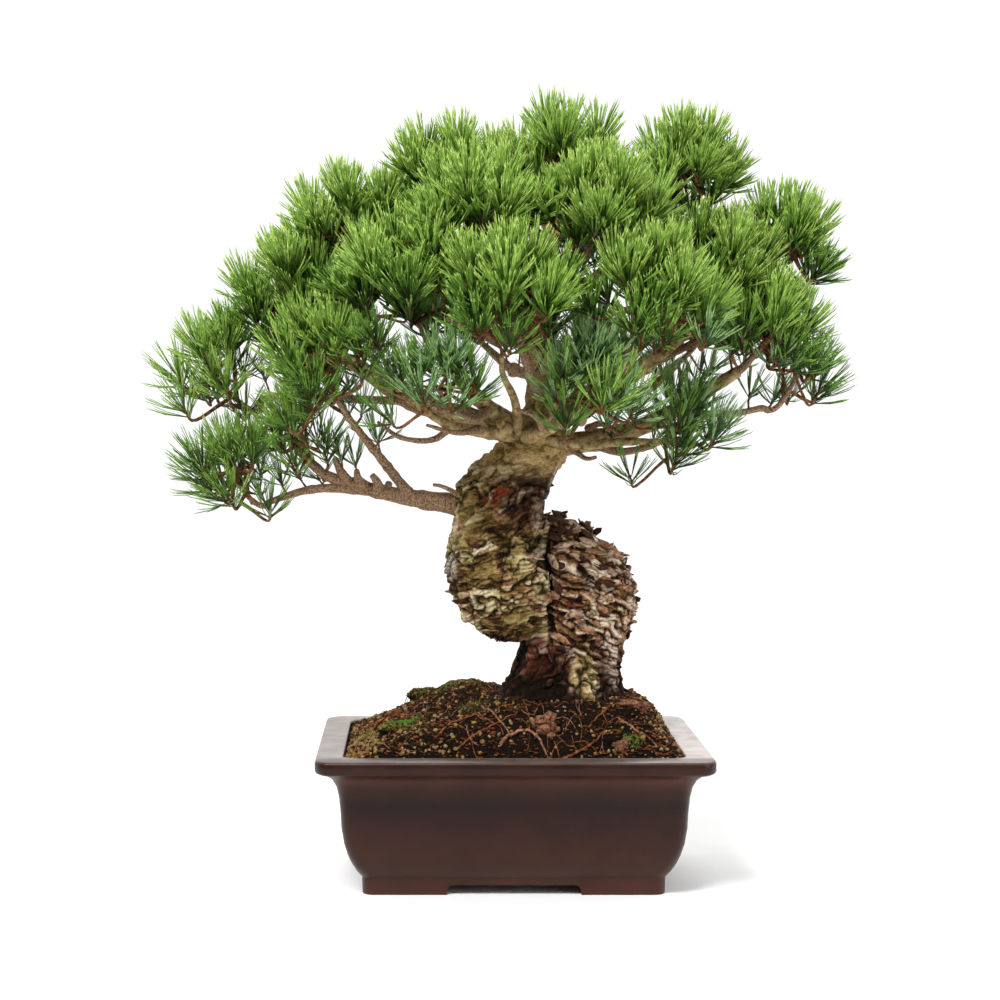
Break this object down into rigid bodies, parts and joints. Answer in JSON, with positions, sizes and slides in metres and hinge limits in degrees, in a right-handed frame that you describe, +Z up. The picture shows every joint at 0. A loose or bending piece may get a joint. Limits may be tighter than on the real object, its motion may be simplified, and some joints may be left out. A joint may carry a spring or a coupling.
{
  "type": "japanese white pine bonsai",
  "caption": "Japanese white pine bonsai: knotted twisting trunk, layered boughs with tufts of needles, in a rectangular brown pot.",
  "frame": {"origin": "on the ground under the middle of the whole plant, seen from above", "axes": "+Z up the trunk, -Y towards the pot's long front, +X to the right as seen from the front"},
  "size_m": [0.567, 0.3914, 0.6226],
  "materials": {
    "pot": "satin",
    "soil": "matte",
    "bark": "matte",
    "limb": "matte",
    "needles": "satin"
  },
  "bodies": {
    "root": {"pot": "pot", "soil": "soil", "trunk": "bark", "bough_low_left_inner": "limb", "bough_low_left_outer": "limb", "bough_left_front": "limb", "bough_left_upper": "limb", "bough_far_left": "limb", "bough_left_top": "limb", "bough_front_left": "limb", "bough_top_left": "limb", "bough_front_top_left": "limb", "bough_front_centre": "limb", "bough_front_top_right": "limb", "bough_right_crown": "limb", "bough_front_right": "limb", "bough_right_upper": "limb", "bough_right_tip": "limb", "bough_right_mid": "limb", "bough_right_outlier": "limb", "bough_right_low": "limb", "bough_front_low_right": "limb", "bough_front_low_left": "limb", "bough_back_left": "limb", "bough_back_left_top": "limb", "bough_back_top": "limb", "bough_back_right_top": "limb", "bough_back_right": "limb", "bough_back_centre": "limb", "bough_back_low_right": "limb", "needles_far_left": "needles", "needles_low_left_outer": "needles", "needles_low_left_inner": "needles", "needles_left_front": "needles", "needles_left_upper": "needles", "needles_left_top": "needles", "needles_front_left": "needles", "needles_top_left": "needles", "needles_front_top_left": "needles", "needles_front_centre": "needles", "needles_front_top_right": "needles", "needles_right_crown": "needles", "needles_front_right": "needles", "needles_right_upper": "needles", "needles_right_tip": "needles", "needles_right_mid": "needles", "needles_right_outlier": "needles", "needles_right_low": "needles", "needles_front_low_right": "needles", "needles_front_low_left": "needles", "needles_back_left": "needles", "needles_back_left_top": "needles", "needles_back_top": "needles", "needles_back_right_top": "needles", "needles_back_right": "needles", "needles_back_centre": "needles", "needles_back_low_right": "needles", "needles_top": "needles"}
  },
  "joints": []
}
